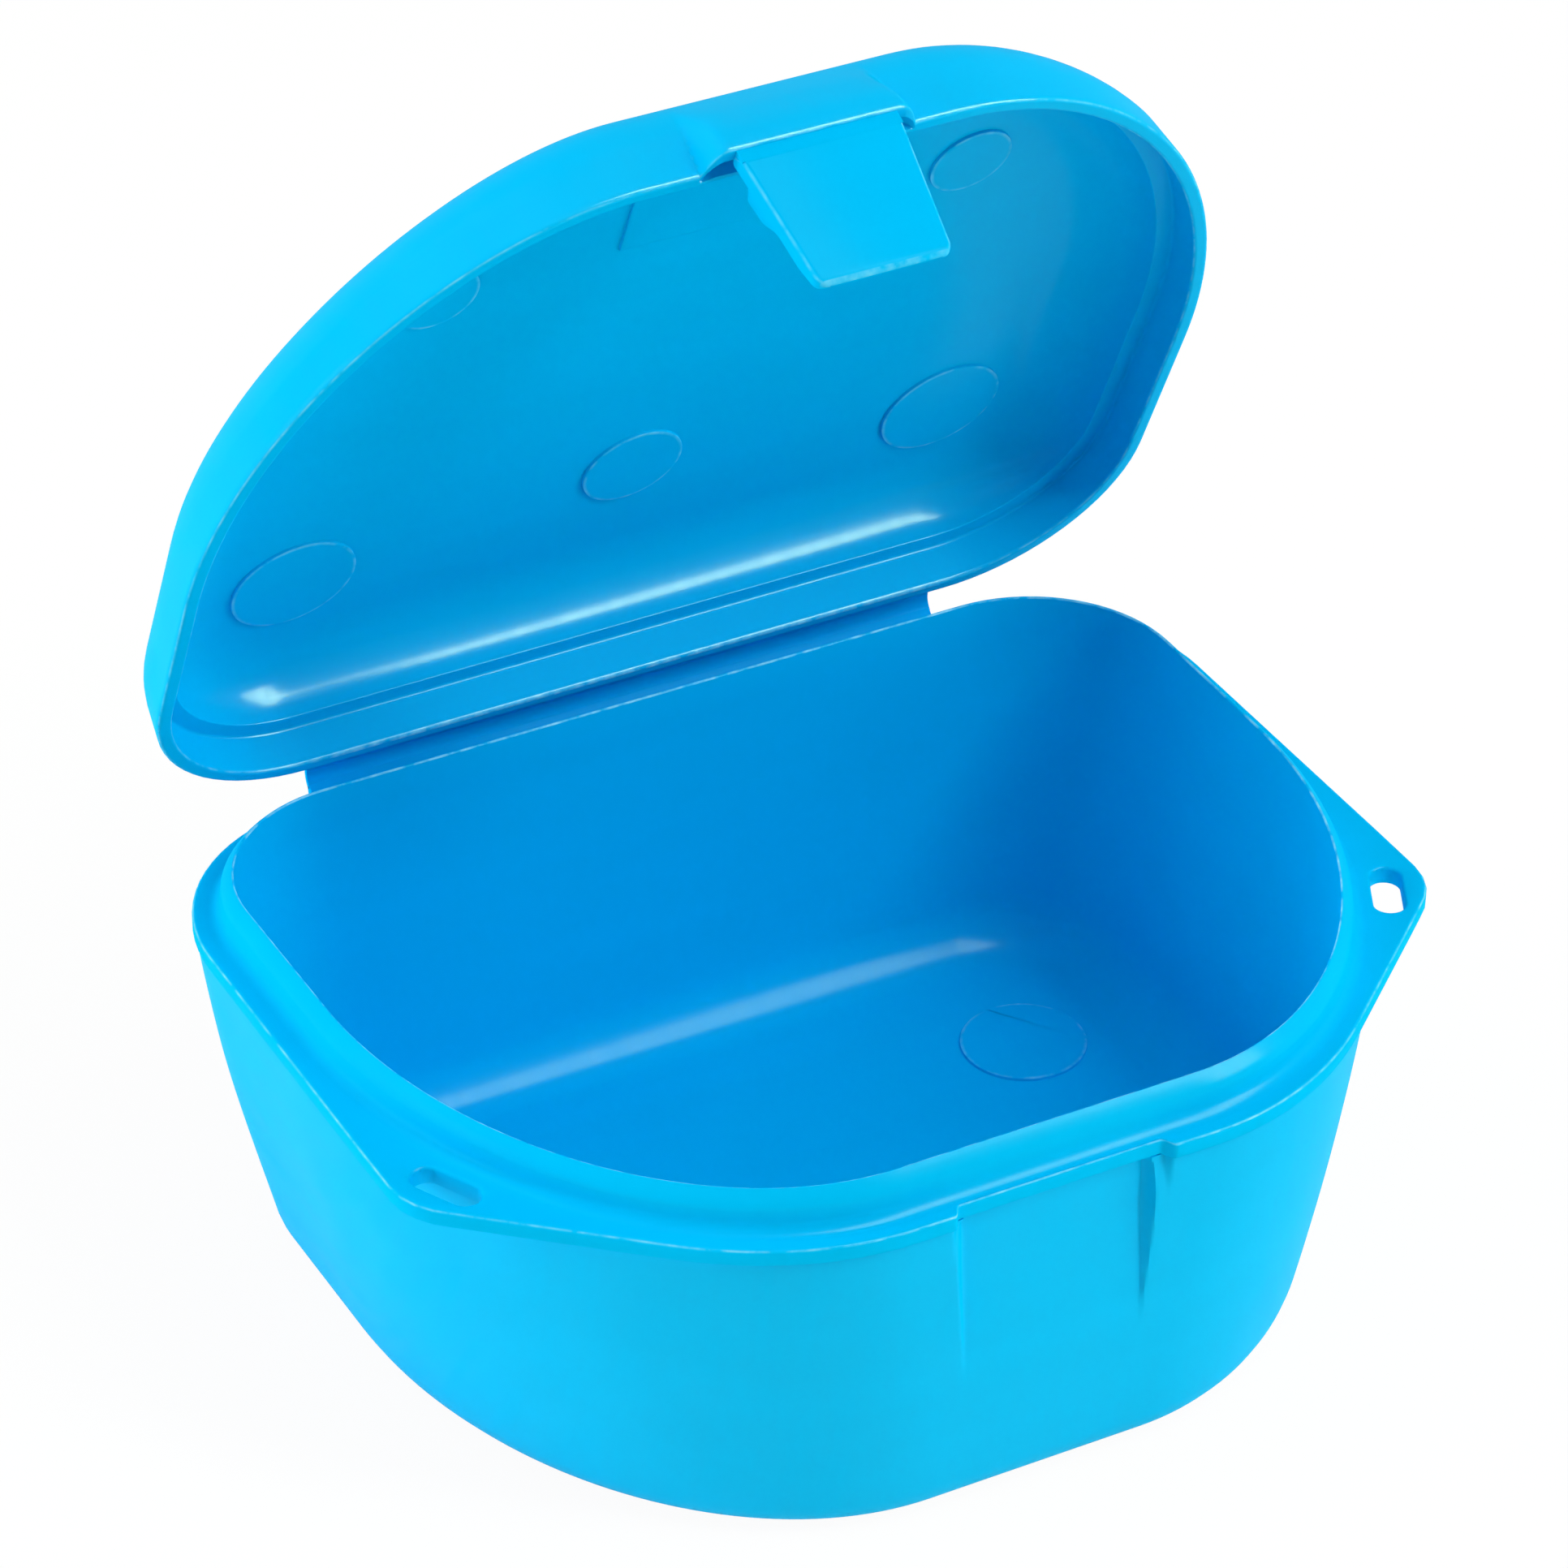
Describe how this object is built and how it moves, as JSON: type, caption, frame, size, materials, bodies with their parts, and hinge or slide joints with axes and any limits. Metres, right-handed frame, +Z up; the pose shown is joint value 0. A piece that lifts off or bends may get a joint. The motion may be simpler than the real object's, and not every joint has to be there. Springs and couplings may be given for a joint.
{
  "type": "orthodontic retainer case",
  "caption": "D-shaped plastic case for a retainer or brace: deep tub with a flange and cord ears, shallow dished lid on a moulded strap hinge, and a flip latch that snaps under the flange",
  "frame": {"origin": "on the flat base, under the middle of the tub's collar", "axes": "+Z up out of the tub, -Y towards the front with the latch, +Y towards the hinge, +X to the right seen from the front"},
  "size_m": [0.0742, 0.064, 0.0826],
  "materials": {
    "case_plastic": "moulded semi-gloss polypropylene",
    "film_plastic": "polypropylene folded thin"
  },
  "bodies": {
    "tub_body": {"tub": "case_plastic", "tub_hinge_leaf": "case_plastic", "hinge_film": "film_plastic"},
    "lid_body": {"lid": "case_plastic", "lid_hinge_leaf": "case_plastic", "latch_film": "film_plastic"},
    "latch_body": {"latch_tab": "case_plastic"}
  },
  "joints": [
    {"name": "lid_hinge", "type": "hinge", "parent": "tub_body", "child": "lid_body", "pos_m": [0, 0.03105, 0.0265], "axis": [-1, 0, 0], "range_deg": [-65, 115]},
    {"name": "latch_fold", "type": "hinge", "parent": "lid_body", "child": "latch_body", "pos_m": [0, 0.00408, 0.08173], "axis": [-1, 0, 0], "range_deg": [-7, 60]}
  ]
}
